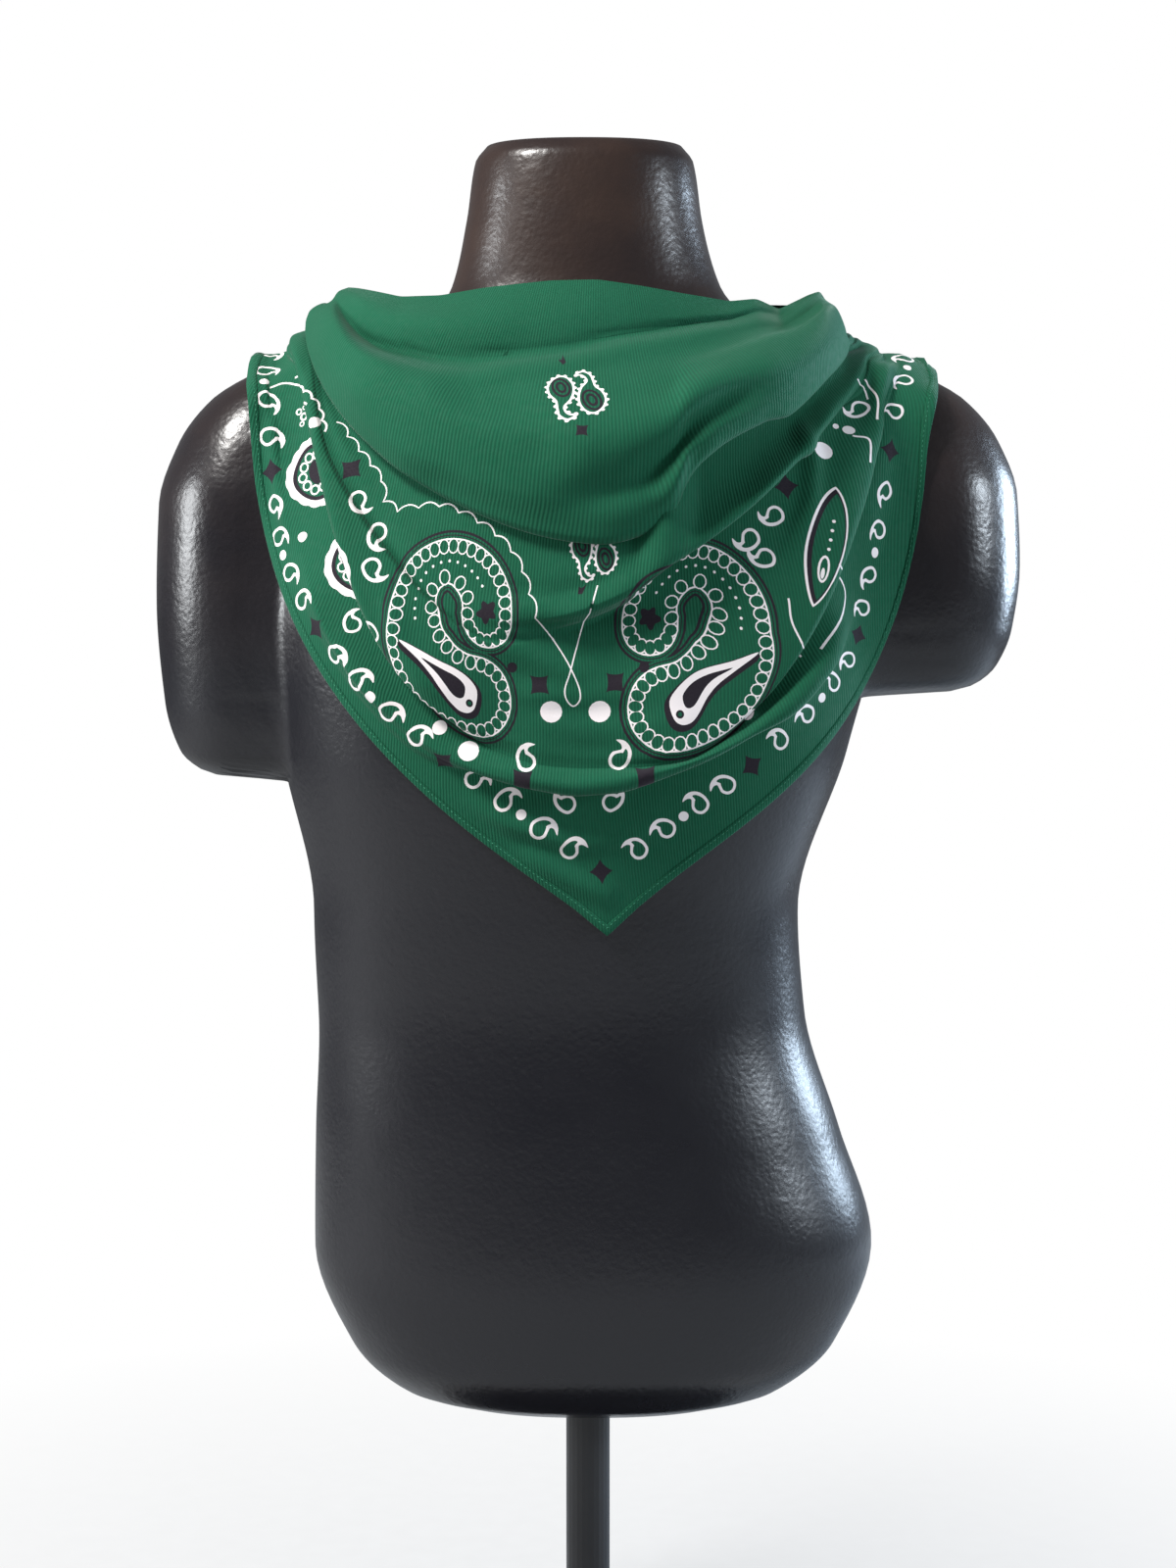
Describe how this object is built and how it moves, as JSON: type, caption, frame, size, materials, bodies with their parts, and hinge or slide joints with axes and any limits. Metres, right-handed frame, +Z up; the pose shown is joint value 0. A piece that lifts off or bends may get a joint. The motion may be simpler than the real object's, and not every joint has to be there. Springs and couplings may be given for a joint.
{
  "type": "bandana on a torso display form",
  "caption": "Square cotton bandana folded into a doubled triangle, draped as a cowl over the chest and knotted at the nape of a smooth torso display form on a round stand.",
  "frame": {"origin": "centre of the stand's base plate, on its underside", "axes": "+Z up the stand's pole; the form's chest faces -Y; +X is to the right of somebody who looks at the chest"},
  "size_m": [0.482, 0.3043, 0.89],
  "materials": {
    "printed_cotton": "matt woven cotton, green ground with a white and black paisley print",
    "form_shell": "satin black moulded shell with a fine leathery grain",
    "stand_enamel": "satin black enamel"
  },
  "bodies": {
    "root": {"front_drape": "printed_cotton", "back_left": "printed_cotton", "back_right": "printed_cotton", "front_hem": "printed_cotton", "knot_core": "printed_cotton", "knot_wrap": "printed_cotton", "end_left": "printed_cotton", "end_right": "printed_cotton", "torso_form": "form_shell", "pole": "stand_enamel", "base_plate": "stand_enamel"}
  },
  "joints": []
}
